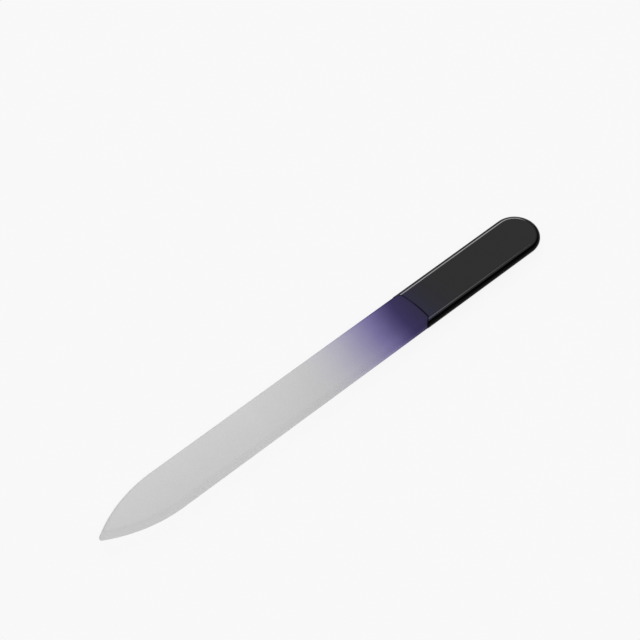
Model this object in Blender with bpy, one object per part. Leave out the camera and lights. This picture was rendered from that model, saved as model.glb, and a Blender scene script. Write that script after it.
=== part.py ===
"""Glass nail file with a lacquered handle, in metres, lying on its back with the tip toward -X.

A bar of tempered glass with full-round ground edges comes to a mitred point. The filing end is etched
all round, and the etched skin is modelled as two faces and two edges that clad the clear core. The
polished handle carries black lacquer on its back and round its edges, a violet lacquer fades out along
the back of the filing end, and a clear varnish seals both.
"""
import math

import bmesh
import bpy

# Finished size
OVERALL_LENGTH = 0.140
GLASS_WIDTH = 0.0122
GLASS_THICKNESS = 0.0030

# Pointed end
TAPER_LENGTH = 0.0201
NOSE_RADIUS = 0.00045

# Zones along the file
HANDLE_LENGTH = 0.0405
FADE_LENGTH = 0.0290
BOUNDARY_RADIUS = 0.0340

# How far the polish runs on toward the tip, from the flats to the middle of the ground edges
EDGE_REACH = 0.0017

# Etched skin of the filing end
ETCH_LOSS = 0.00002
SKIN_DEPTH = 0.00020

# Coats on the back
COLOUR_FILM = 0.00003
VARNISH_FILM = 0.00002
WRAP_ANGLE = math.radians(56.0)

# What neighbouring layers keep clear of each other
BOND_GAP = 0.00001

# How far a cutter or a joined core runs past the face that it meets
OVERRUN = 0.0010

# Facets
EDGE_STEPS = 12
NOSE_STEPS = 4
TAPER_STEPS = 20
CAP_STEPS = 28
BOUNDARY_STEPS = 10

# Points closer than this are one point
MERGE_DISTANCE = 0.0000001

# Angles closer than this are one angle
SAME_ANGLE = math.radians(0.5)

# Edges sharper than this stay crisp when the rest is shaded smooth
CRISP_ANGLE = math.radians(35.0)

# Worked out from the sizes above
EDGE_RADIUS = GLASS_THICKNESS / 2
HALF_WIDTH = GLASS_WIDTH / 2
HALF_FLAT = HALF_WIDTH - EDGE_RADIUS
COAT_BUILD = COLOUR_FILM + BOND_GAP
FULL_BUILD = COAT_BUILD + VARNISH_FILM + BOND_GAP
GLASS_BOTTOM = FULL_BUILD
GLASS_TOP = GLASS_BOTTOM + GLASS_THICKNESS
MID_HEIGHT = GLASS_BOTTOM + EDGE_RADIUS

# Places along the file, with its finished length centred on the origin
TIP_X = -OVERALL_LENGTH / 2 - ETCH_LOSS
NOSE_X = TIP_X + NOSE_RADIUS
TAPER_END_X = TIP_X + TAPER_LENGTH
GLASS_END_X = OVERALL_LENGTH / 2 - FULL_BUILD
CAP_X = GLASS_END_X - HALF_WIDTH
HANDLE_START_X = OVERALL_LENGTH / 2 - HANDLE_LENGTH

# Arc of the taper: it touches the straight side at the taper's end, and the small arc of the nose
TAPER_RADIUS = (((TAPER_LENGTH - NOSE_RADIUS) ** 2 + HALF_WIDTH ** 2 - NOSE_RADIUS ** 2)
                / (2 * (HALF_WIDTH - NOSE_RADIUS)))
TAPER_CENTRE_Y = HALF_WIDTH - TAPER_RADIUS
NOSE_TOUCH_ANGLE = math.atan2(-TAPER_CENTRE_Y, NOSE_X - TAPER_END_X)

# The bond gap as measured along the file where the boundary runs slanted round the edges
SLANTED_GAP = BOND_GAP * math.hypot(EDGE_REACH, EDGE_RADIUS) / EDGE_RADIUS

# Colour, roughness, metallic and see-through share of each material
GLASS_LOOK = ((0.80, 0.86, 0.84), 0.03, 0.0, 0.9)
ETCHED_LOOK = ((0.60, 0.60, 0.60), 0.60, 0.0, 0.3)
VIOLET_LOOK = ((0.045, 0.030, 0.095), 0.35, 0.0, 0.3)
BLACK_LOOK = ((0.006, 0.006, 0.008), 0.30, 0.0, 0.0)
VARNISH_LOOK = ((0.90, 0.90, 0.90), 0.10, 0.0, 0.9)


def spread(first, last, steps):
    """Evenly spaced values from first to last, both included."""
    return [first + (last - first) * i / steps for i in range(steps + 1)]


def on_arc(centre_x, centre_y, radius, angle):
    """One plan point of an arc."""
    return centre_x + radius * math.cos(angle), centre_y + radius * math.sin(angle)


def edge_angles(last=math.pi / 2):
    """Angles round the ground edge, from straight down to last; every layer has its facets at the same ones."""
    lower = [angle for angle in spread(-math.pi / 2, math.pi / 2, EDGE_STEPS) if angle < last - SAME_ANGLE]
    return lower + [last]


def edge_level(depth, angle):
    """Plan inset and height of the rounded edge at an angle, for a surface depth below the glass's own."""
    radius = EDGE_RADIUS - depth
    return EDGE_RADIUS - radius * math.cos(angle), MID_HEIGHT + radius * math.sin(angle)


def boundary_x(y, toward_tip):
    """Where the etching stops, moved toward_tip along the file.

    On the flats it is an arc bowed toward the handle, and round the edges it runs back toward the tip.
    """
    on_flat = min(abs(y), HALF_FLAT)
    round_edge_share = (abs(y) - on_flat) / EDGE_RADIUS
    arc_x = HANDLE_START_X - BOUNDARY_RADIUS + math.sqrt(BOUNDARY_RADIUS ** 2 - on_flat ** 2)
    return arc_x - EDGE_REACH * round_edge_share - toward_tip


def boundary_line(half, toward_tip):
    """Plan points of that line from y = half to y = -half."""
    flat = min(half, HALF_FLAT)
    across = [half] + spread(flat, -flat, BOUNDARY_STEPS) + [-half]
    return [(boundary_x(y, toward_tip), y) for y in across]


def taper_side(inset, first_y):
    """Plan points of the pointed end on the +Y side, from y = first_y at the nose to the straight side."""
    nose = NOSE_RADIUS - inset
    radius = TAPER_RADIUS - inset
    if nose * math.sin(NOSE_TOUCH_ANGLE) > first_y:
        start = NOSE_TOUCH_ANGLE
        nose_angles = spread(math.pi - math.asin(first_y / nose), start, NOSE_STEPS)
        points = [on_arc(NOSE_X, 0, nose, angle) for angle in nose_angles]
    else:
        start = math.pi - math.asin((first_y - TAPER_CENTRE_Y) / radius)
        points = [on_arc(TAPER_END_X, TAPER_CENTRE_Y, radius, start)] * (NOSE_STEPS + 1)
    side_angles = spread(start, math.pi / 2, TAPER_STEPS)
    return points + [on_arc(TAPER_END_X, TAPER_CENTRE_Y, radius, angle) for angle in side_angles[1:]]


def mirrored(points):
    """The same plan points on the other side of the centre line, in reverse order."""
    return [(x, -y) for x, y in reversed(points)]


def blade_outline(inset, toward_tip):
    """Closed plan outline of the filing end."""
    side = taper_side(inset, 0)
    return side + boundary_line(HALF_WIDTH - inset, toward_tip) + mirrored(side[1:])


def handle_outline(inset, toward_tip):
    """Closed plan outline of the handle, with its half-round end."""
    half = HALF_WIDTH - inset
    cap = [on_arc(CAP_X, 0, half, angle) for angle in spread(-math.pi / 2, math.pi / 2, CAP_STEPS)]
    return cap + boundary_line(half, toward_tip)


def fade_outline(inset, toward_tip):
    """Closed plan outline of a strip under the filing end, from where the colour starts to the handle."""
    half = HALF_WIDTH - inset
    return boundary_line(half, FADE_LENGTH) + list(reversed(boundary_line(half, toward_tip)))


def finish(name, bm):
    """Turn a bmesh into an object with clean points and outward faces."""
    bmesh.ops.remove_doubles(bm, verts=bm.verts, dist=MERGE_DISTANCE)
    bmesh.ops.dissolve_degenerate(bm, edges=bm.edges, dist=MERGE_DISTANCE)
    bmesh.ops.recalc_face_normals(bm, faces=bm.faces)
    mesh = bpy.data.meshes.new(name)
    bm.to_mesh(mesh)
    bm.free()
    body = bpy.data.objects.new(name, mesh)
    bpy.context.scene.collection.objects.link(body)
    mesh.shade_smooth()
    mesh.set_sharp_from_angle(angle=CRISP_ANGLE)
    return body


def loft(name, levels):
    """Closed body through plan outlines with equally many points, given as (outline, height)."""
    bm = bmesh.new()
    loops = [[bm.verts.new((x, y, height)) for x, y in outline] for outline, height in levels]
    count = len(loops[0])
    for low, high in zip(loops, loops[1:]):
        for i in range(count):
            after = (i + 1) % count
            bm.faces.new((low[i], low[after], high[after], high[i]))
    bm.faces.new(reversed(loops[0]))
    bm.faces.new(loops[-1])
    return finish(name, bm)


def rounded_body(name, outline, depth, toward_tip, last_angle=math.pi / 2):
    """Body with full-round edges, depth inside the glass's own surface, up to last_angle on its edges."""
    levels = []
    for angle in edge_angles(last_angle):
        inset, height = edge_level(depth, angle)
        levels.append((outline(inset, toward_tip), height))
    return loft(name, levels)


def plate(name, outline, inset, toward_tip, bottom, top):
    """Flat plate between two heights."""
    shape = outline(inset, toward_tip)
    return loft(name, [(shape, bottom), (shape, top)])


def combine(body, other, operation):
    """Apply a Boolean of other to body, and remove other."""
    modifier = body.modifiers.new(operation.title(), "BOOLEAN")
    modifier.operation = operation
    modifier.solver = "EXACT"
    modifier.object = other
    bpy.context.view_layer.update()
    evaluated = body.evaluated_get(bpy.context.evaluated_depsgraph_get())
    result = bpy.data.meshes.new_from_object(evaluated)
    body.modifiers.clear()
    body.data = result
    bpy.data.objects.remove(other)
    body.data.shade_smooth()
    body.data.set_sharp_from_angle(angle=CRISP_ANGLE)
    return body


def skin_strip(name, outer_depth, inner_depth, side):
    """Curved strip that clads one ground edge of the filing end, from the mitre at the tip to the handle."""
    half_gap = BOND_GAP / 2
    bm = bmesh.new()
    grids = []
    for depth in (outer_depth, inner_depth):
        grid = []
        for angle in edge_angles():
            inset, height = edge_level(depth, angle)
            half = HALF_WIDTH - inset
            run = taper_side(inset, half_gap) + [(boundary_x(half, SLANTED_GAP), half)]
            grid.append([bm.verts.new((x, side * y, height)) for x, y in run])
        grids.append(grid)
    outer, inner = grids
    rows, columns = len(outer), len(outer[0])
    for grid in grids:
        for low, high in zip(grid, grid[1:]):
            for i in range(columns - 1):
                bm.faces.new((low[i], low[i + 1], high[i + 1], high[i]))
    for row in (0, rows - 1):
        for i in range(columns - 1):
            bm.faces.new((outer[row][i], outer[row][i + 1], inner[row][i + 1], inner[row][i]))
    for column in (0, columns - 1):
        for row in range(rows - 1):
            bm.faces.new((outer[row][column], outer[row + 1][column],
                          inner[row + 1][column], inner[row][column]))
    return finish(name, bm)


def glass_blank():
    """Clear tempered bar: full size in the handle, and the core that is left under the etched skin."""
    core_depth = ETCH_LOSS + SKIN_DEPTH + BOND_GAP
    bar = rounded_body("glass_blank", handle_outline, 0, 0)
    core = rounded_body("core", blade_outline, core_depth, -OVERRUN)
    return combine(bar, core, "UNION")


def filing_face(name, outside, inward):
    """Etched flat face of the filing end, from its outside height inward by the skin's depth."""
    low, high = sorted((outside, outside + inward * SKIN_DEPTH))
    return plate(name, blade_outline, EDGE_RADIUS + BOND_GAP, BOND_GAP, low, high)


def violet_fade_lacquer():
    """Film on the back of the filing end, where the handle's colour fades out toward the tip."""
    low = VARNISH_FILM + BOND_GAP
    high = GLASS_BOTTOM + ETCH_LOSS - BOND_GAP
    return plate("violet_fade_lacquer", fade_outline, EDGE_RADIUS + BOND_GAP, BOND_GAP, low, high)


def trough(name, outer_build, inner_build):
    """Film round the back and the edges of the handle, up to the wrap angle on its front shoulders."""
    film = rounded_body(name, handle_outline, -outer_build, 0, WRAP_ANGLE)
    inside = rounded_body("inside", handle_outline, -inner_build, OVERRUN)
    return combine(film, inside, "DIFFERENCE")


def clear_sealing_varnish():
    """Clear film over the handle's lacquer, with a tongue that seals the fading lacquer too."""
    film = trough("clear_sealing_varnish", FULL_BUILD, COAT_BUILD + BOND_GAP)
    tongue = plate("tongue", fade_outline, EDGE_RADIUS + BOND_GAP, -OVERRUN, 0, VARNISH_FILM)
    return combine(film, tongue, "UNION")


def material(name, look):
    """Principled material from a colour, roughness, metallic and see-through share."""
    colour, roughness, metallic, transmission = look
    made = bpy.data.materials.new(name)
    made.use_nodes = True
    shader = made.node_tree.nodes["Principled BSDF"]
    shader.inputs["Base Color"].default_value = (*colour, 1.0)
    shader.inputs["Roughness"].default_value = roughness
    shader.inputs["Metallic"].default_value = metallic
    shader.inputs["Transmission Weight"].default_value = transmission
    made.diffuse_color = (*colour, 1.0)
    return made


def build():
    """Model every piece and give it its material."""
    for old in list(bpy.data.objects):
        bpy.data.objects.remove(old)
    glass = material("clear_glass", GLASS_LOOK)
    etched = material("etched_glass", ETCHED_LOOK)
    violet = material("violet_lacquer", VIOLET_LOOK)
    black = material("black_lacquer", BLACK_LOOK)
    varnish = material("clear_varnish", VARNISH_LOOK)
    skin_bottom = ETCH_LOSS + SKIN_DEPTH
    finished = [
        (glass_blank(), glass),
        (filing_face("front_filing_face", GLASS_TOP - ETCH_LOSS, -1), etched),
        (filing_face("back_filing_face", GLASS_BOTTOM + ETCH_LOSS, 1), etched),
        (skin_strip("left_filing_edge", ETCH_LOSS, skin_bottom, 1), etched),
        (skin_strip("right_filing_edge", ETCH_LOSS, skin_bottom, -1), etched),
        (violet_fade_lacquer(), violet),
        (trough("black_handle_lacquer", COAT_BUILD, BOND_GAP), black),
        (clear_sealing_varnish(), varnish),
    ]
    for body, look in finished:
        body.data.materials.clear()
        body.data.materials.append(look)


build()
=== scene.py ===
"""Glass nail file: a frosted filing end, a polished handle over black lacquer, and violet fading between."""
import math

import bmesh
import bpy
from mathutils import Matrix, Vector


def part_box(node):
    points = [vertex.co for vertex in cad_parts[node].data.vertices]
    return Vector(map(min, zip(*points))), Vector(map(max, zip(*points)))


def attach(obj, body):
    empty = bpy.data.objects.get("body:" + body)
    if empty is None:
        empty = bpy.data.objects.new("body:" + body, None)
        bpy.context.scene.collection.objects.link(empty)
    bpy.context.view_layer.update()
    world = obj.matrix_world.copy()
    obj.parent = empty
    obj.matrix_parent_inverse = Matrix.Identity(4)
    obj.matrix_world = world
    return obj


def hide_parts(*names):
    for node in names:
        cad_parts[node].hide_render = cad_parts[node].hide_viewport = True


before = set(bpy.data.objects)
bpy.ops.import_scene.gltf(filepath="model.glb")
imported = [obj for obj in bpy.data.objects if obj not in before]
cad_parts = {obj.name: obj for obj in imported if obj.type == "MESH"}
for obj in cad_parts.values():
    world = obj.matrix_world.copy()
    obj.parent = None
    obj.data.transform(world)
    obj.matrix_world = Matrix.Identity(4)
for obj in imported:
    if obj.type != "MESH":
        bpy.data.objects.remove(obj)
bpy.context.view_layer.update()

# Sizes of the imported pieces
GLASS_LOW, GLASS_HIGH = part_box("glass_blank")
FRONT_LOW, FRONT_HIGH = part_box("front_filing_face")
EDGE_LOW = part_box("left_filing_edge")[0]
VIOLET_LOW, VIOLET_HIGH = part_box("violet_fade_lacquer")
VARNISH_LOW, VARNISH_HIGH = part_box("clear_sealing_varnish")

# Sizes that the boxes don't tell
TAPER_LENGTH = 0.0201
NOSE_RADIUS = 0.00045
HANDLE_LENGTH = 0.0405
FADE_LENGTH = 0.0290
BOUNDARY_RADIUS = 0.0340
EDGE_REACH = 0.0017
COLOUR_FILM = 0.00003
VARNISH_FILM = 0.00002
BOND_GAP = 0.00001
WRAP_ANGLE = math.radians(56.0)

# Narrow flat that keeps the shading of the polished flats true up to their rounded edges
LAND = 0.00012

# How far a cutter runs past what it cuts, along the bar and as a share of its round edges
OVERRUN = 0.0010
ZONE_SPREAD = 2.0

# Facets
EDGE_FACETS = 24
CAP_FACETS = 48
TAPER_FACETS = 40
NOSE_FACETS = 8
MASK_FACETS = 360

# Points closer than TINY are one point, and a cut or a join can leave edges shorter than SHORT
TINY = 0.000001
SHORT = 0.00002

# Faces closer in slope than FLAT_ANGLE are one flat, and edges sharper than CRISP_ANGLE stay crisp
FLAT_ANGLE = math.radians(0.05)
CRISP_ANGLE = math.radians(35.0)
QUARTER_TURN = math.pi / 2
ROUND_PROFILE = 0.5

# How squarely a face has to look along a direction to be picked by it
END_FACING = 0.9
SQUARE_FACING = 0.999
LEVEL_FACING = 0.9999

# The seam where the etching ends looks along the bar at least this much, and up or down at most this much
SEAM_FACING = 0.3
SEAM_LEAN = 0.01

# Worked out from the sizes above
HALF_WIDTH = (GLASS_HIGH.y - GLASS_LOW.y) / 2
EDGE_RADIUS = (GLASS_HIGH.z - GLASS_LOW.z) / 2
HALF_FLAT = HALF_WIDTH - EDGE_RADIUS
MID_HEIGHT = (GLASS_HIGH.z + GLASS_LOW.z) / 2
ETCH_LOSS = GLASS_HIGH.z - FRONT_HIGH.z
SKIN_DEPTH = FRONT_HIGH.z - FRONT_LOW.z
TIP_X = EDGE_LOW.x - ETCH_LOSS
NOSE_X = TIP_X + NOSE_RADIUS
TAPER_END_X = TIP_X + TAPER_LENGTH
CAP_X = GLASS_HIGH.x - HALF_WIDTH
HANDLE_START_X = VARNISH_HIGH.x - HANDLE_LENGTH
BOUNDARY_CENTRE_X = HANDLE_START_X - BOUNDARY_RADIUS
FLAT_END_X = BOUNDARY_CENTRE_X + math.sqrt(BOUNDARY_RADIUS ** 2 - HALF_FLAT ** 2)
TAPER_RADIUS = (((TAPER_LENGTH - NOSE_RADIUS) ** 2 + HALF_WIDTH ** 2 - NOSE_RADIUS ** 2)
                / (2 * (HALF_WIDTH - NOSE_RADIUS)))
TAPER_CENTRE_Y = HALF_WIDTH - TAPER_RADIUS
TOUCH_ANGLE = math.atan2(-TAPER_CENTRE_Y, NOSE_X - TAPER_END_X)


def start_alone():
    """Deselect everything, so that the next step works on its own piece only."""
    if bpy.context.mode != "OBJECT":
        bpy.ops.object.mode_set(mode="OBJECT")
    bpy.ops.object.select_all(action="DESELECT")


def take(piece):
    """Make a piece the only selected and the active one."""
    start_alone()
    piece.select_set(True)
    bpy.context.view_layer.objects.active = piece
    return piece


def block(name, low, high):
    """Block between two corners."""
    start_alone()
    middle = [(a + b) / 2 for a, b in zip(low, high)]
    size = [b - a for a, b in zip(low, high)]
    bpy.ops.mesh.primitive_cube_add(size=1, location=middle, scale=size)
    piece = bpy.context.object
    piece.name = name
    bpy.ops.object.transform_apply(location=True, rotation=True, scale=True)
    return piece


def pick_faces(test):
    """Select the faces in edit mode that pass the test."""
    bpy.ops.mesh.select_mode(type="FACE")
    bpy.ops.mesh.select_all(action="DESELECT")
    mesh = bpy.context.object.data
    bm = bmesh.from_edit_mesh(mesh)
    bm.normal_update()
    for face in bm.faces:
        face.select_set(bool(test(face)))
    bmesh.update_edit_mesh(mesh)


def pick_edges(test):
    """Select the edges in edit mode whose two ends pass the test."""
    bpy.ops.mesh.select_mode(type="EDGE")
    bpy.ops.mesh.select_all(action="DESELECT")
    mesh = bpy.context.object.data
    bm = bmesh.from_edit_mesh(mesh)
    for edge in bm.edges:
        first, second = edge.verts
        edge.select_set(bool(test(first.co, second.co)))
    bmesh.update_edit_mesh(mesh)


def delete_faces(piece, test):
    """Delete the faces of a piece that pass the test."""
    take(piece)
    bpy.ops.object.mode_set(mode="EDIT")
    pick_faces(test)
    bpy.ops.mesh.delete(type="FACE")
    bpy.ops.object.mode_set(mode="OBJECT")


def merge_points(distance=TINY):
    """Merge the points of the mesh in edit mode that lie on each other."""
    bpy.ops.mesh.select_all(action="SELECT")
    bpy.ops.mesh.remove_doubles(threshold=distance)


def on_middle_plane(face):
    """True of a face that lies on the plane between the two halves."""
    return max(abs(corner.co.y) for corner in face.verts) < TINY


def ground_bar(name, depth):
    """Whole bar with full-round edges, a mitred point and a half-round end, depth inside the glass.

    One half is modelled along the straight, turned round the end, the taper and the nose, and mirrored.
    """
    half = HALF_WIDTH - depth
    radius = EDGE_RADIUS - depth
    low = (TAPER_END_X, 0, MID_HEIGHT - radius)
    high = (CAP_X, half, MID_HEIGHT + radius)
    bar = block(name, low, high)
    bpy.ops.object.mode_set(mode="EDIT")
    pick_edges(lambda a, b: min(a.y, b.y) > half - TINY and abs(a.x - b.x) > TINY)
    bpy.ops.mesh.bevel(offset=radius, segments=EDGE_FACETS // 2, profile=ROUND_PROFILE,
                       affect="EDGES", clamp_overlap=False)
    merge_points()
    pick_faces(lambda face: face.normal.x > END_FACING)
    bpy.ops.mesh.spin(steps=CAP_FACETS // 2, angle=QUARTER_TURN, center=(CAP_X, 0, 0), axis=(0, 0, 1))
    pick_faces(lambda face: face.normal.x < -END_FACING)
    bpy.ops.mesh.spin(steps=TAPER_FACETS, angle=QUARTER_TURN - TOUCH_ANGLE,
                      center=(TAPER_END_X, TAPER_CENTRE_Y, 0), axis=(0, 0, 1))
    bpy.ops.mesh.select_all(action="SELECT")
    bpy.ops.mesh.bisect(plane_co=(0, 0, 0), plane_no=(0, 1, 0), clear_inner=True, threshold=TINY)
    heading = Vector((math.cos(TOUCH_ANGLE + QUARTER_TURN), math.sin(TOUCH_ANGLE + QUARTER_TURN), 0))
    pick_faces(lambda face: face.normal.dot(heading) > SQUARE_FACING)
    bpy.ops.mesh.spin(steps=NOSE_FACETS, angle=TOUCH_ANGLE - math.pi, center=(NOSE_X, 0, 0),
                      axis=(0, 0, 1))
    pick_faces(on_middle_plane)
    bpy.ops.mesh.delete(type="FACE")
    merge_points()
    bpy.ops.mesh.symmetrize(direction="POSITIVE_Y", threshold=TINY)
    bpy.ops.mesh.delete_loose()
    merge_points()
    bpy.ops.mesh.normals_make_consistent(inside=False)
    bpy.ops.mesh.dissolve_limited(angle_limit=FLAT_ANGLE)
    bpy.ops.object.mode_set(mode="OBJECT")
    return bar


def etched_zone(toward_tip):
    """Cutter whose plan is the etched zone: an arc across the flats, swept back round the edges."""
    start_alone()
    flat_end_x = FLAT_END_X - toward_tip
    bpy.ops.mesh.primitive_cylinder_add(vertices=MASK_FACETS, radius=BOUNDARY_RADIUS, depth=BOUNDARY_RADIUS,
                                        location=(BOUNDARY_CENTRE_X - toward_tip, 0, MID_HEIGHT))
    zone = bpy.context.object
    bpy.ops.object.transform_apply(location=True, rotation=True, scale=True)
    bpy.ops.object.mode_set(mode="EDIT")
    bpy.ops.mesh.select_all(action="SELECT")
    bpy.ops.mesh.bisect(plane_co=(flat_end_x, 0, 0), plane_no=(1, 0, 0), clear_inner=True,
                        use_fill=True, threshold=TINY)
    pick_faces(lambda face: face.normal.x < -SQUARE_FACING)
    swept_back = EDGE_REACH * ZONE_SPREAD
    bpy.ops.mesh.extrude_region_move(TRANSFORM_OT_translate={"value": (-swept_back, 0, 0)})
    wider = 1 + EDGE_RADIUS * ZONE_SPREAD / HALF_FLAT
    bpy.ops.transform.resize(value=(1, wider, 1), center_override=(0, 0, 0))
    past_tip = flat_end_x - swept_back - TIP_X + OVERRUN
    bpy.ops.mesh.extrude_region_move(TRANSFORM_OT_translate={"value": (-past_tip, 0, 0)})
    bpy.ops.mesh.select_all(action="SELECT")
    bpy.ops.mesh.normals_make_consistent(inside=False)
    bpy.ops.object.mode_set(mode="OBJECT")
    return zone


def combine(piece, tool, operation):
    """Cut a piece with a tool, keep only what they share, or join them, and use the tool up."""
    take(piece)
    change = piece.modifiers.new("Combine", "BOOLEAN")
    change.operation = operation
    change.solver = "EXACT"
    change.object = tool
    bpy.ops.object.modifier_apply(modifier=change.name)
    take(tool)
    bpy.ops.object.delete()
    return take(piece)


def thicken(piece, thickness, outward):
    """Give an open surface a wall, outward from it or inward."""
    take(piece)
    wall = piece.modifiers.new("Wall", "SOLIDIFY")
    wall.thickness = thickness
    wall.offset = 1 if outward else -1
    wall.use_even_offset = True
    bpy.ops.object.modifier_apply(modifier=wall.name)
    return piece


def copy_of(piece, name):
    """Copy of a piece with its own mesh."""
    take(piece)
    bpy.ops.object.duplicate()
    copy = bpy.context.object
    copy.name = name
    return copy


def add_lands(piece):
    """Frame each flat with a narrow flat strip, so that its shading stays level."""
    take(piece)
    bpy.ops.object.mode_set(mode="EDIT")
    merge_points(SHORT)
    pick_faces(lambda face: abs(face.normal.z) > LEVEL_FACING)
    bpy.ops.mesh.inset(thickness=LAND)
    bpy.ops.object.mode_set(mode="OBJECT")


def seam_facing_handle(face):
    """True of an upright face of the seam that looks toward the handle."""
    return face.normal.x > SEAM_FACING and abs(face.normal.z) < SEAM_LEAN


def seam_facing_tip(face):
    """True of an upright face of the seam that looks toward the tip."""
    return face.normal.x < -SEAM_FACING and abs(face.normal.z) < SEAM_LEAN


def clear_bar():
    """Clear glass: full size in the polished handle, and the core under the frosted skin."""
    bar = combine(ground_bar("clear_bar", 0), etched_zone(0), "DIFFERENCE")
    add_lands(bar)
    core_depth = ETCH_LOSS + SKIN_DEPTH + BOND_GAP
    core = combine(ground_bar("core", core_depth), etched_zone(-OVERRUN), "INTERSECT")
    combine(bar, core, "UNION")
    bpy.ops.object.mode_set(mode="EDIT")
    merge_points(SHORT)
    bpy.ops.object.mode_set(mode="OBJECT")
    return bar


def mitre(piece, side):
    """Trim a round edge to the middle plane, where it meets the other edge at the tip."""
    take(piece)
    bpy.ops.object.mode_set(mode="EDIT")
    bpy.ops.mesh.select_all(action="SELECT")
    bpy.ops.mesh.bisect(plane_co=(0, side * EDGE_LOW.y, 0), plane_no=(0, side, 0), clear_inner=True,
                        use_fill=True, threshold=TINY)
    bpy.ops.object.mode_set(mode="OBJECT")


def round_edge(face):
    """True of a face that isn't on a flat."""
    return abs(face.normal.z) < LEVEL_FACING


def frosted_skin():
    """The etched surface in its four pieces: two flat faces, and two round edges that meet at the tip."""
    blade = combine(ground_bar("blade", ETCH_LOSS), etched_zone(BOND_GAP), "INTERSECT")
    delete_faces(blade, seam_facing_handle)
    parts = {
        "frosted_front": lambda face: face.normal.z > LEVEL_FACING,
        "frosted_back": lambda face: face.normal.z < -LEVEL_FACING,
        "frosted_left_edge": lambda face: round_edge(face) and face.calc_center_median().y > 0,
        "frosted_right_edge": lambda face: round_edge(face) and face.calc_center_median().y < 0,
    }
    skin = []
    for name, belongs in parts.items():
        piece = copy_of(blade, name)
        delete_faces(piece, lambda face: not belongs(face))
        skin.append(thicken(piece, SKIN_DEPTH, outward=False))
    front, back, left, right = skin
    mitre(left, 1)
    mitre(right, -1)
    take(blade)
    bpy.ops.object.delete()
    return front, back, left, right


def coat(name, build_inside, film):
    """Film round the back and the edges of the handle, up to the wrap line on its front shoulders."""
    shell = combine(ground_bar(name, -build_inside), etched_zone(0), "DIFFERENCE")
    top = math.sin(WRAP_ANGLE)
    delete_faces(shell, lambda face: face.normal.z > top or seam_facing_tip(face))
    return thicken(shell, film, outward=True)


def fade_strip(name, bottom, top, past_handle):
    """Flat film under the filing end, from where the colour starts to the handle."""
    half = HALF_FLAT - BOND_GAP
    strip = block(name, (VIOLET_LOW.x - FADE_LENGTH, -half, bottom), (CAP_X, half, top))
    combine(strip, etched_zone(-past_handle), "INTERSECT")
    return combine(strip, etched_zone(FADE_LENGTH), "DIFFERENCE")


def varnish_coat():
    """Clear film over the handle's lacquer, with a tongue that seals the fading lacquer."""
    trough = coat("varnish_coat", COLOUR_FILM + 2 * BOND_GAP, VARNISH_FILM)
    tongue = fade_strip("tongue", VARNISH_LOW.z, VARNISH_LOW.z + VARNISH_FILM, OVERRUN)
    return combine(trough, tongue, "UNION")


# Frosted glass: how pale it is, a painted shade that darkens it toward the right across the bar, its clouds,
# its grit and its low sheen
FROST = 0.688
FROST_PAINTED_SHADE_LEAN = 6.5
FROST_CLOUD = 0.0060
FROST_CLOUD_SHARE = 0.02
GRIT = 0.00012
GRIT_SHARE = 0.30
GRIT_HEIGHT = 0.000012
FROST_ROUGHNESS = 0.75
FROST_SHEEN = 0.06
GLASS_IOR = 1.5

# Airbrushed coats behind it: where each starts and is full, how fast it builds, what it takes of each colour
VIOLET_START_X = -0.0125
VIOLET_FULL_X = 0.0241
VIOLET_BUILD = 3.0
VIOLET_TAKES = (2.26, 2.53, 1.05)
BLACK_START_X = 0.0165
BLACK_FULL_X = 0.0280
BLACK_BUILD = 1.27
BLACK_TAKES = (0.63, 0.57, 1.07)
HAZE_START_X = -0.0232
HAZE_FULL_X = -0.0062
HAZE_TAKES = (0.07, 0.07, 0.07)

# How the coats slant and drift across the bar, and how far they draw back between two distances to its right
COAT_SLANT = 0.22
COAT_DRIFT = 0.0014
COAT_CLOUD = 0.0050
COAT_BEND = 0.0014
BEND_START = 0.0015
BEND_END = 0.0070

# Round edges set in between two heights, as shares of their radius, and left turns to right in EDGE_SIDE
EDGE_FROM = 0.98
EDGE_TO = 0.80
EDGE_SIDE = 0.0005

# The coats came from the left and lie thicker on the left edge. The right edge is painted a little paler:
# painted light where the lamps reach it less.
EDGE_COAT_SHARE = 0.20
RIGHT_EDGE_PAINTED_LIGHT = 0.06

# The coats are thinner low on the right edge, which sets in between two heights too
LOW_RIGHT_FROM = 0.62
LOW_RIGHT_TO = 0.20
LOW_RIGHT_COAT_SHARE = 0.13

# Painted shade: a dark line where the etching ends, just on the etched side, for the shade of the small step
# there
LINE_INSET = 0.00015
PAINTED_LINE_WIDTH = 0.00040
PAINTED_LINE_TAKES = 2.2
PAINTED_LINE_FAR_SHARE = 0.45

# Polished glass over black, with a painted violet glow beside the etching, for the lit violet zone seen
# through the glass
HANDLE_GLOW = (0.001, 0.0, 0.030)
HANDLE_GLOW_FALL = 0.0035
SMUDGE = 0.0060
POLISH_ROUGHNESS = 0.04
POLISH_SMUDGE = 0.03

# Lacquers and varnish: how rough and how glossy they are, and how dark the black is, with its faint clouds
VIOLET_ROUGHNESS = 0.35
BLACK_ROUGHNESS = 0.30
BLACK_SHEEN = 0.05
BLACK_SHADE = 0.0008
BLACK_CLOUD = 0.0006
VARNISH_ROUGHNESS = 0.16
VARNISH_SMUDGE = 0.08
VARNISH_SHEEN = 0.03

# Noise runs from 0 to 1 about its middle, and its detail adds finer lumps
NOISE_MIDDLE = 0.5
NOISE_DETAIL = 2.0


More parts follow.
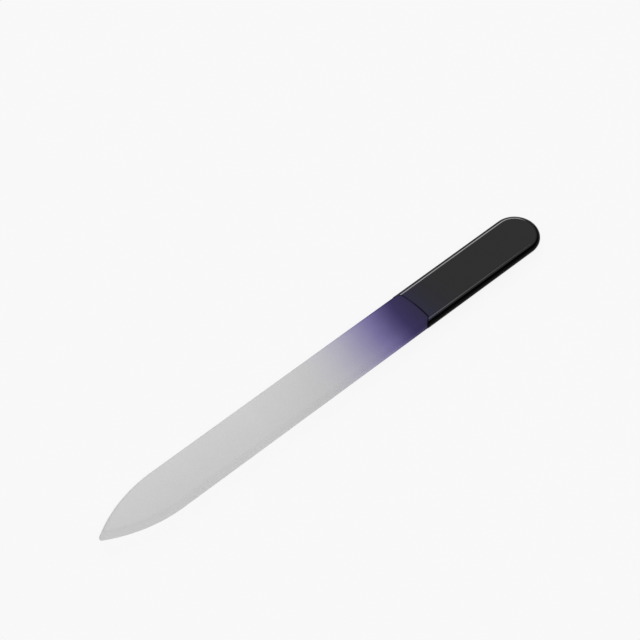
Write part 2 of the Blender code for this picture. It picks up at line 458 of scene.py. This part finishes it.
class Look:
    """A material, and short ways to add nodes to it."""

    def __init__(self, name):
        self.material = bpy.data.materials.new(name)
        self.material.use_nodes = True
        self.nodes = self.material.node_tree.nodes
        self.links = self.material.node_tree.links
        self.shader = self.nodes["Principled BSDF"]
        self.place = self.nodes.new("ShaderNodeTexCoord").outputs["Object"]
        axes = self.nodes.new("ShaderNodeSeparateXYZ")
        self.links.new(self.place, axes.inputs[0])
        self.x, self.y, self.z = axes.outputs

    def set(self, **values):
        """Plain values on the shader's own sockets."""
        for name, value in values.items():
            self.shader.inputs[name.replace("_", " ")].default_value = value

    def feed(self, socket, value):
        """Link a socket to another, or set it to a plain value."""
        if isinstance(value, bpy.types.NodeSocket):
            self.links.new(value, socket)
        else:
            socket.default_value = value

    def maths(self, operation, *values):
        """One sum."""
        node = self.nodes.new("ShaderNodeMath")
        node.operation = operation
        for socket, value in zip(node.inputs, values):
            self.feed(socket, value)
        return node.outputs[0]

    def step(self, value, low, high, to_low, to_high):
        """Smooth change from to_low to to_high as a value goes from low to high."""
        node = self.nodes.new("ShaderNodeMapRange")
        node.interpolation_type = "SMOOTHSTEP"
        for socket, given in zip(node.inputs, (value, low, high, to_low, to_high)):
            self.feed(socket, given)
        return node.outputs[0]

    def noise(self, size):
        """Soft noise on both sides of 0 with lumps of about a size."""
        node = self.nodes.new("ShaderNodeTexNoise")
        node.inputs["Scale"].default_value = 1 / size
        node.inputs["Detail"].default_value = NOISE_DETAIL
        self.links.new(self.place, node.inputs["Vector"])
        return self.maths("SUBTRACT", node.outputs["Fac"], NOISE_MIDDLE)

    def colour(self, channels):
        """One colour out of three channels."""
        node = self.nodes.new("ShaderNodeCombineColor")
        for socket, value in zip(node.inputs, channels):
            self.feed(socket, value)
        return node.outputs[0]

    def relief(self, height, distance):
        """Bump on the shader's normal."""
        node = self.nodes.new("ShaderNodeBump")
        node.inputs["Distance"].default_value = distance
        self.feed(node.inputs["Height"], height)
        self.links.new(node.outputs[0], self.shader.inputs["Normal"])


def coat_place(look):
    """Distance along the file as the airbrushed coats see it, a little slanted and drifting."""
    drift = look.maths("MULTIPLY", look.noise(COAT_CLOUD), COAT_DRIFT)
    slanted = look.maths("MULTIPLY_ADD", look.y, -COAT_SLANT, look.x)
    bent = look.maths("SUBTRACT", slanted, look.step(look.y, -BEND_END, -BEND_START, COAT_BEND, 0.0))
    return look.maths("ADD", bent, drift)


def ramp(look, place, start, full, build):
    """Share of a coat at a place, from 0 at its start to 1 where it is full."""
    node = look.nodes.new("ShaderNodeMapRange")
    for socket, value in zip(node.inputs, (place, start, full, 0.0, 1.0)):
        look.feed(socket, value)
    return look.maths("POWER", node.outputs[0], build)


def airbrushed(look, thickness, pale):
    """Colour of pale glass seen through the coats, where they have a share of their full thickness."""
    place = coat_place(look)
    violet = ramp(look, place, VIOLET_START_X, VIOLET_FULL_X, VIOLET_BUILD)
    black = ramp(look, place, BLACK_START_X, BLACK_FULL_X, BLACK_BUILD)
    haze = ramp(look, place, HAZE_START_X, HAZE_FULL_X, 1.0)
    channels = []
    for takes in zip(VIOLET_TAKES, BLACK_TAKES, HAZE_TAKES):
        taken = look.maths("MULTIPLY", haze, takes[2])
        taken = look.maths("MULTIPLY_ADD", black, takes[1], taken)
        taken = look.maths("MULTIPLY_ADD", violet, takes[0], taken)
        left = look.maths("EXPONENT", look.maths("MULTIPLY", taken, look.maths("MULTIPLY", thickness, -1.0)))
        channels.append(look.maths("MULTIPLY", left, pale))
    return channels


def past_etching(look):
    """Distance past the line where the etching ends, toward the handle."""
    on_flat = look.maths("MINIMUM", look.maths("ABSOLUTE", look.y), HALF_FLAT)
    past = look.maths("MAXIMUM", look.maths("SUBTRACT", look.maths("ABSOLUTE", look.y), HALF_FLAT), 0.0)
    squared = look.maths("SUBTRACT", BOUNDARY_RADIUS ** 2, look.maths("MULTIPLY", on_flat, on_flat))
    arc = look.maths("ADD", look.maths("SQRT", squared), BOUNDARY_CENTRE_X)
    edge = look.maths("MULTIPLY_ADD", past, -EDGE_REACH / EDGE_RADIUS, arc)
    return look.maths("SUBTRACT", look.x, edge)


def painted_line_shade(look):
    """Share of colour left by the painted shade line: less in a narrow band where the etching ends."""
    away = look.maths("ABSOLUTE", look.maths("ADD", past_etching(look), LINE_INSET))
    strength = look.step(look.y, -HALF_FLAT / 2, HALF_FLAT / 2, PAINTED_LINE_TAKES, PAINTED_LINE_TAKES * PAINTED_LINE_FAR_SHARE)
    dark = look.step(away, 0.0, PAINTED_LINE_WIDTH, strength, 0.0)
    return look.maths("EXPONENT", look.maths("MULTIPLY", dark, -1.0))


def frosted_look():
    """Etched glass, with the airbrushed coats behind it."""
    look = Look("frosted_glass")
    height = look.maths("ABSOLUTE", look.maths("SUBTRACT", look.z, MID_HEIGHT))
    on_edge = look.step(height, EDGE_TO * EDGE_RADIUS, EDGE_FROM * EDGE_RADIUS, 1.0, 0.0)
    on_right = look.step(look.y, -EDGE_SIDE, EDGE_SIDE, 1.0, 0.0)
    right_edge = look.maths("MULTIPLY", on_edge, on_right)
    left_edge = look.maths("SUBTRACT", on_edge, right_edge)
    low = look.step(height, LOW_RIGHT_TO * EDGE_RADIUS, LOW_RIGHT_FROM * EDGE_RADIUS, 1.0, 0.0)
    low_right = look.maths("MULTIPLY", low, on_right)
    thickness = look.maths("MULTIPLY_ADD", left_edge, EDGE_COAT_SHARE, 1.0)
    thickness = look.maths("MULTIPLY_ADD", low_right, -LOW_RIGHT_COAT_SHARE, thickness)
    # Painted shade and light: the frost darkens toward the right across the flats, and its right edge is
    # painted paler
    pale_with_painted_light = look.maths("MULTIPLY_ADD", look.y, FROST_PAINTED_SHADE_LEAN * FROST, FROST)
    pale_with_painted_light = look.maths("MULTIPLY_ADD", right_edge, RIGHT_EDGE_PAINTED_LIGHT * FROST, pale_with_painted_light)
    cloud_with_painted_light = look.maths("MULTIPLY_ADD", look.noise(FROST_CLOUD), FROST_CLOUD_SHARE, pale_with_painted_light)
    grit = look.noise(GRIT)
    speckle = look.maths("MULTIPLY_ADD", grit, GRIT_SHARE, 1.0)
    # The frost is dimmed by the painted shade line where the etching ends
    pale = look.maths("MULTIPLY", look.maths("MULTIPLY", cloud_with_painted_light, speckle), painted_line_shade(look))
    channels = airbrushed(look, thickness, pale)
    look.feed(look.shader.inputs["Base Color"], look.colour(channels))
    look.set(Roughness=FROST_ROUGHNESS, Specular_IOR_Level=FROST_SHEEN, IOR=GLASS_IOR)
    look.relief(grit, GRIT_HEIGHT)
    return look.material


def polished_look():
    """Clear polished glass over the black lacquer, with a painted violet glow beside the etching."""
    look = Look("polished_glass_over_black")
    # Painted glow: violet light from beside the etching, fading into the handle
    past = look.maths("DIVIDE", look.maths("SUBTRACT", HANDLE_START_X, look.x), HANDLE_GLOW_FALL)
    glow = look.maths("MINIMUM", look.maths("EXPONENT", past), 1.0)
    glow = look.maths("MULTIPLY", glow, painted_line_shade(look))
    channels = [look.maths("MULTIPLY", glow, share) for share in HANDLE_GLOW]
    look.feed(look.shader.inputs["Base Color"], look.colour(channels))
    smudge = look.maths("MULTIPLY_ADD", look.noise(SMUDGE), POLISH_SMUDGE, POLISH_ROUGHNESS)
    look.feed(look.shader.inputs["Roughness"], smudge)
    look.set(IOR=GLASS_IOR)
    return look.material


def violet_look():
    """Violet lacquer on the frosted back, fading out under the varnish."""
    look = Look("violet_lacquer_fading")
    channels = airbrushed(look, 1.0, FROST)
    look.feed(look.shader.inputs["Base Color"], look.colour(channels))
    look.set(Roughness=VIOLET_ROUGHNESS)
    return look.material


def black_look():
    """Black lacquer."""
    look = Look("black_lacquer_film")
    shade = look.maths("MULTIPLY_ADD", look.noise(SMUDGE), BLACK_CLOUD, BLACK_SHADE)
    look.feed(look.shader.inputs["Base Color"], look.colour((shade, shade, shade)))
    look.set(Roughness=BLACK_ROUGHNESS, Specular_IOR_Level=BLACK_SHEEN)
    return look.material


def varnish_look():
    """Clear varnish, with the colour of what it seals: the fading violet, and the black of the handle."""
    look = Look("clear_varnish_over_lacquer")
    shade = look.maths("MULTIPLY_ADD", look.noise(SMUDGE), BLACK_CLOUD, BLACK_SHADE)
    uncovered = look.step(past_etching(look), -LINE_INSET, 0.0, 1.0, 0.0)
    channels = airbrushed(look, 1.0, look.maths("MULTIPLY", uncovered, FROST))
    channels = [look.maths("ADD", channel, shade) for channel in channels]
    look.feed(look.shader.inputs["Base Color"], look.colour(channels))
    smudge = look.maths("MULTIPLY_ADD", look.noise(SMUDGE), VARNISH_SMUDGE, VARNISH_ROUGHNESS)
    look.feed(look.shader.inputs["Roughness"], smudge)
    look.set(Specular_IOR_Level=VARNISH_SHEEN)
    return look.material


def finish_piece(piece, look, slot, *nodes):
    """Shade a piece smooth but for its crisp edges, and put it in the place of its solids."""
    take(piece)
    bpy.ops.object.mode_set(mode="EDIT")
    merge_points()
    bpy.ops.mesh.normals_make_consistent(inside=False)
    bpy.ops.object.mode_set(mode="OBJECT")
    bpy.ops.object.shade_smooth_by_angle(angle=CRISP_ANGLE)
    piece.data.name = piece.name
    piece.data.materials.clear()
    piece.data.materials.append(look)
    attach(piece, "root")
    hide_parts(*nodes)


frosted = frosted_look()
front, back, left, right = frosted_skin()
finish_piece(clear_bar(), polished_look(), "clear_glass", "glass_blank")
finish_piece(front, frosted, "etched_glass", "front_filing_face")
finish_piece(back, frosted, "etched_glass", "back_filing_face")
finish_piece(left, frosted, "etched_glass", "left_filing_edge")
finish_piece(right, frosted, "etched_glass", "right_filing_edge")
violet = fade_strip("violet_fade", VIOLET_LOW.z, VIOLET_HIGH.z, -BOND_GAP)
finish_piece(violet, violet_look(), "violet_lacquer", "violet_fade_lacquer")
black = coat("black_coat", BOND_GAP, COLOUR_FILM)
finish_piece(black, black_look(), "black_lacquer", "black_handle_lacquer")
finish_piece(varnish_coat(), varnish_look(), "clear_varnish", "clear_sealing_varnish")


# Studio
CAMERA_AZIMUTH = math.radians(43.28)
CAMERA_HEIGHT_ANGLE = math.radians(51.21)
CAMERA_DISTANCE = 0.600
CAMERA_AIM_RIGHT = -0.001746
CAMERA_AIM_UP = 0.013664
CAMERA_LENS = 142.3
FLOOR_SIZE = 6.0
FLOOR_GAP = 0.00005
FLOOR_GLOW = 0.880
FLOOR_SHADE = 0.07
FLOOR_ROUGHNESS = 0.9
LIGHT_DISTANCE = 1.5

# Soft boxes: azimuth and elevation in degrees, width and height in metres, brightness beside white's 1
SOFTBOXES = {
    "rim_light": (56, 29.5, 0.97, 0.50, 5.0),
    "side_light": (-22.5, 62, 0.39, 0.34, 1.9),
    "fill_light": (-105, 48, 1.00, 0.70, 2.8),
}

# Room light: dim at and below a low height, full from a greater height up. Heights are sines of their angles.
ROOM_LOW_LIGHT = 0.12
ROOM_HIGH_LIGHT = 0.65
ROOM_DIM_BELOW = 0.30
ROOM_FULL_ABOVE = 0.78


def camera():
    """Camera where the photograph was taken from."""
    across = Vector((math.cos(CAMERA_AZIMUTH), -math.sin(CAMERA_AZIMUTH), 0))
    flat = math.cos(CAMERA_HEIGHT_ANGLE)
    toward = Vector((-math.sin(CAMERA_AZIMUTH) * flat, -math.cos(CAMERA_AZIMUTH) * flat,
                     math.sin(CAMERA_HEIGHT_ANGLE)))
    up = toward.cross(across)
    place = toward * CAMERA_DISTANCE
    aim = across * CAMERA_AIM_RIGHT + up * CAMERA_AIM_UP
    data = bpy.data.cameras.new("photo_camera")
    data.lens = CAMERA_LENS
    made = bpy.data.objects.new("photo_camera", data)
    made.location = place
    made.rotation_mode = "QUATERNION"
    made.rotation_quaternion = (aim - place).to_track_quat("-Z", "Y")
    bpy.context.scene.collection.objects.link(made)
    bpy.context.scene.camera = made


def floor():
    """Plain pale floor of lit acrylic."""
    start_alone()
    bpy.ops.mesh.primitive_plane_add(size=FLOOR_SIZE, location=(0, 0, VARNISH_LOW.z - FLOOR_GAP))
    made = bpy.context.object
    made.name = "floor"
    look = Look("floor_acrylic")
    look.set(Base_Color=(FLOOR_SHADE, FLOOR_SHADE, FLOOR_SHADE, 1), Roughness=FLOOR_ROUGHNESS,
             Specular_IOR_Level=0.0, Emission_Color=(1, 1, 1, 1), Emission_Strength=FLOOR_GLOW)
    made.data.materials.append(look.material)


def softbox(name, azimuth, elevation, width, height, brightness):
    """Soft box at an azimuth from +X and an elevation, of a brightness beside white's 1."""
    azimuth, elevation = math.radians(azimuth), math.radians(elevation)
    flat = math.cos(elevation)
    toward = Vector((math.cos(azimuth) * flat, math.sin(azimuth) * flat, math.sin(elevation)))
    data = bpy.data.lights.new(name, "AREA")
    data.shape = "RECTANGLE"
    data.size, data.size_y = width, height
    data.energy = brightness * math.pi * width * height
    made = bpy.data.objects.new(name, data)
    made.location = toward * LIGHT_DISTANCE
    made.rotation_mode = "QUATERNION"
    made.rotation_quaternion = toward.to_track_quat("Z", "Y")
    made.visible_camera = False
    bpy.context.scene.collection.objects.link(made)


def room():
    """Soft white room light, dim low down and full overhead."""
    world = bpy.data.worlds.new("room")
    world.use_nodes = True
    nodes, links = world.node_tree.nodes, world.node_tree.links
    direction = nodes.new("ShaderNodeSeparateXYZ")
    links.new(nodes.new("ShaderNodeTexCoord").outputs["Generated"], direction.inputs[0])
    rise = nodes.new("ShaderNodeMapRange")
    rise.interpolation_type = "SMOOTHSTEP"
    links.new(direction.outputs["Z"], rise.inputs["Value"])
    rise.inputs["From Min"].default_value = ROOM_DIM_BELOW
    rise.inputs["From Max"].default_value = ROOM_FULL_ABOVE
    rise.inputs["To Min"].default_value = ROOM_LOW_LIGHT
    rise.inputs["To Max"].default_value = ROOM_HIGH_LIGHT
    nodes["Background"].inputs["Color"].default_value = (1, 1, 1, 1)
    links.new(rise.outputs["Result"], nodes["Background"].inputs["Strength"])
    bpy.context.scene.world = world
    bpy.context.scene.view_settings.view_transform = "Standard"


camera()
floor()
room()
for light, setting in SOFTBOXES.items():
    softbox(light, *setting)
